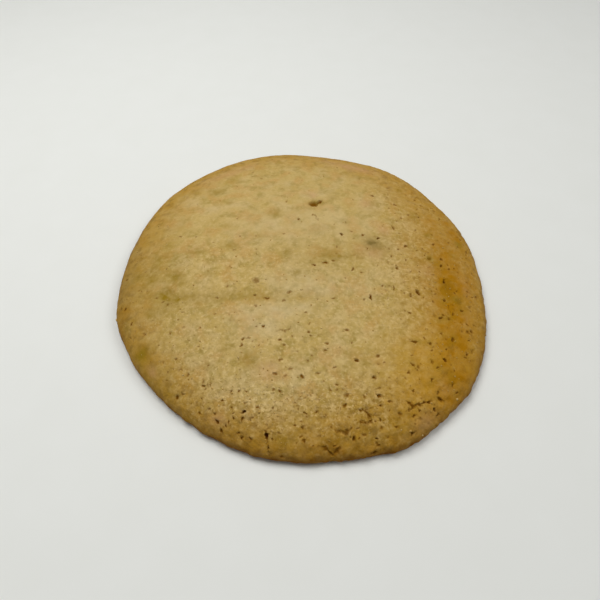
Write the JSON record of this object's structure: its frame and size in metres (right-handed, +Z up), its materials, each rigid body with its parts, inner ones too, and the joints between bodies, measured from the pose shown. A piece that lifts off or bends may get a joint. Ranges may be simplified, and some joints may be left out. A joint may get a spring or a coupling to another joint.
{
  "type": "sugar cookie",
  "caption": "Plain baked sugar cookie: an oval, low-domed disc with a rounded, slightly uneven rim, small pits and cracks, and a flat base.",
  "frame": {"origin": "middle of the cookie's outline, on its flat base", "axes": "+Z up out of the dome, +X along the short axis of the outline, +Y to the back as the picture shows it"},
  "size_m": [0.08, 0.086, 0.009],
  "materials": {
    "baked_dough": "dry, matte baked crust, pale golden in the middle and browner towards the rim"
  },
  "bodies": {
    "root": {"cookie": "baked_dough"}
  },
  "joints": []
}
